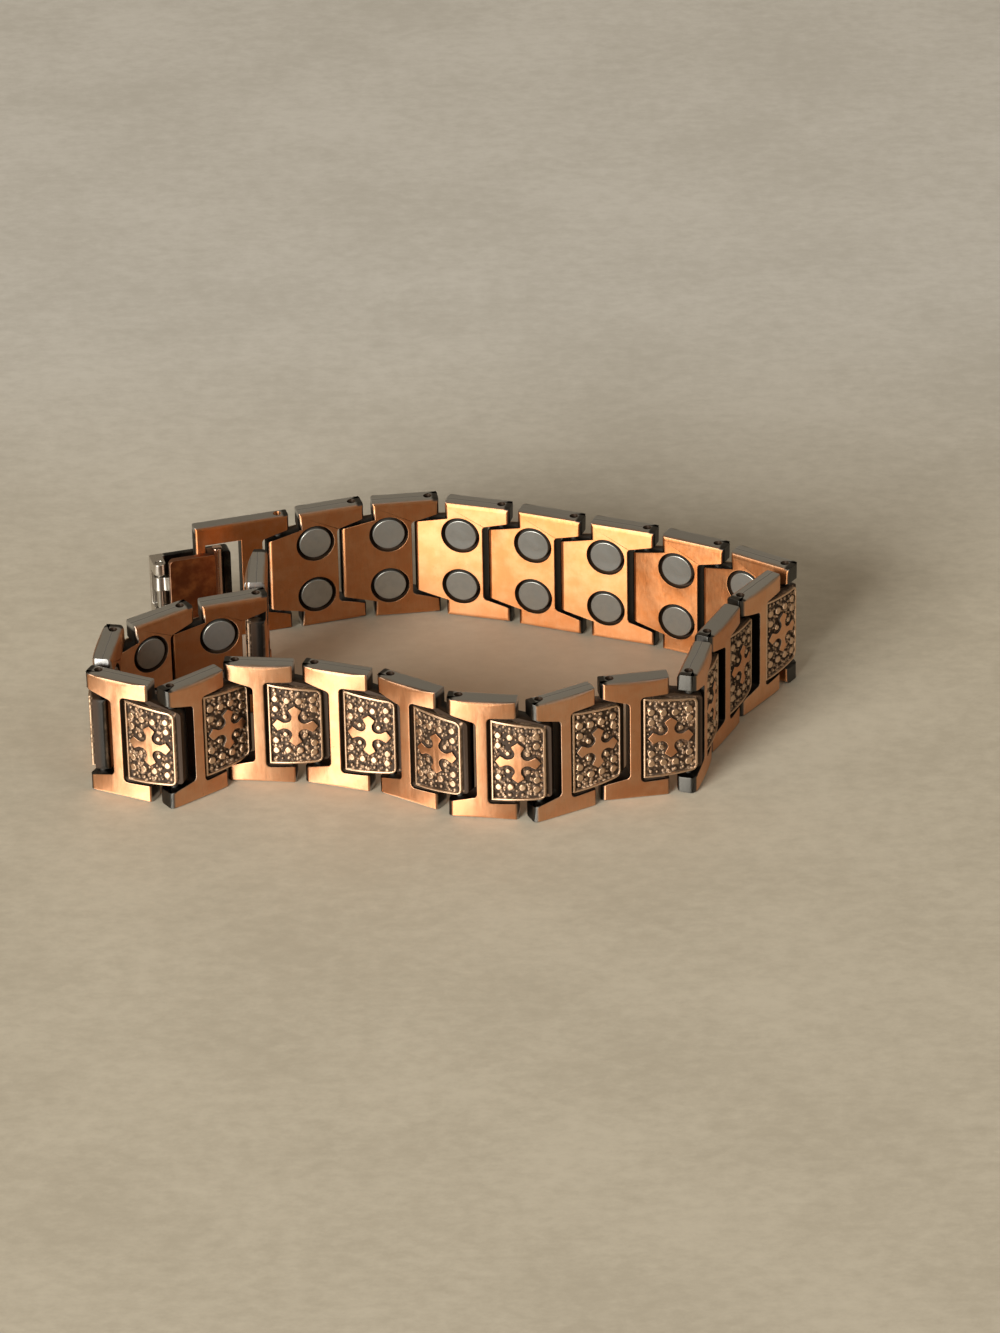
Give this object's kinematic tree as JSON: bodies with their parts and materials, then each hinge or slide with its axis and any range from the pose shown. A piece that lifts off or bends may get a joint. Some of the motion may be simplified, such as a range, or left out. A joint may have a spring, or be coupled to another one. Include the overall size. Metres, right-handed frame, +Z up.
{
  "type": "magnetic bracelet",
  "caption": "Hinged link bracelet in copper and steel with raised cross panels outside, inset magnets inside and a fold-over clasp, standing on the edge of its band",
  "frame": {"origin": "middle of the bounding box in plan, on the surface that the band's edge stands on", "axes": "+X along the loop's longest side, to the right in the picture; +Y away from the camera; +Z up across the band's height"},
  "size_m": [0.079, 0.0488, 0.015],
  "materials": {
    "copper": "satin copper on grey steel",
    "magnet_steel": "plain plated magnet",
    "pin_steel": "dull steel",
    "clasp_steel": "satin steel"
  },
  "bodies": {
    "band": {"link_01": "copper", "link_02": "copper", "link_03": "copper", "link_04": "copper", "link_05": "copper", "link_06": "copper", "link_07": "copper", "link_08": "copper", "link_09": "copper", "link_10": "copper", "link_11": "copper", "link_12": "copper", "link_13": "copper", "link_14": "copper", "link_15": "copper", "link_16": "copper", "link_17": "copper", "link_18": "copper", "link_19": "copper", "link_20": "copper", "link_21": "copper", "link_22": "copper", "magnets_01": "magnet_steel", "magnets_02": "magnet_steel", "magnets_03": "magnet_steel", "magnets_04": "magnet_steel", "magnets_05": "magnet_steel", "magnets_06": "magnet_steel", "magnets_07": "magnet_steel", "magnets_08": "magnet_steel", "magnets_09": "magnet_steel", "magnets_10": "magnet_steel", "magnets_11": "magnet_steel", "magnets_12": "magnet_steel", "magnets_13": "magnet_steel", "magnets_14": "magnet_steel", "magnets_15": "magnet_steel", "magnets_16": "magnet_steel", "magnets_17": "magnet_steel", "magnets_18": "magnet_steel", "magnets_19": "magnet_steel", "magnets_20": "magnet_steel", "magnets_21": "magnet_steel", "magnets_22": "magnet_steel", "link_pins": "pin_steel", "clasp_frame": "copper", "clasp_leaf": "copper", "clasp_pin": "clasp_steel"},
    "cover": {"clasp_cover": "clasp_steel"}
  },
  "joints": [
    {"name": "clasp_cover_hinge", "type": "hinge", "parent": "band", "child": "cover", "pos_m": [-0.03279, 0.01553, 0.0075], "axis": [0, 0, 1], "range_deg": [0, 135]}
  ]
}
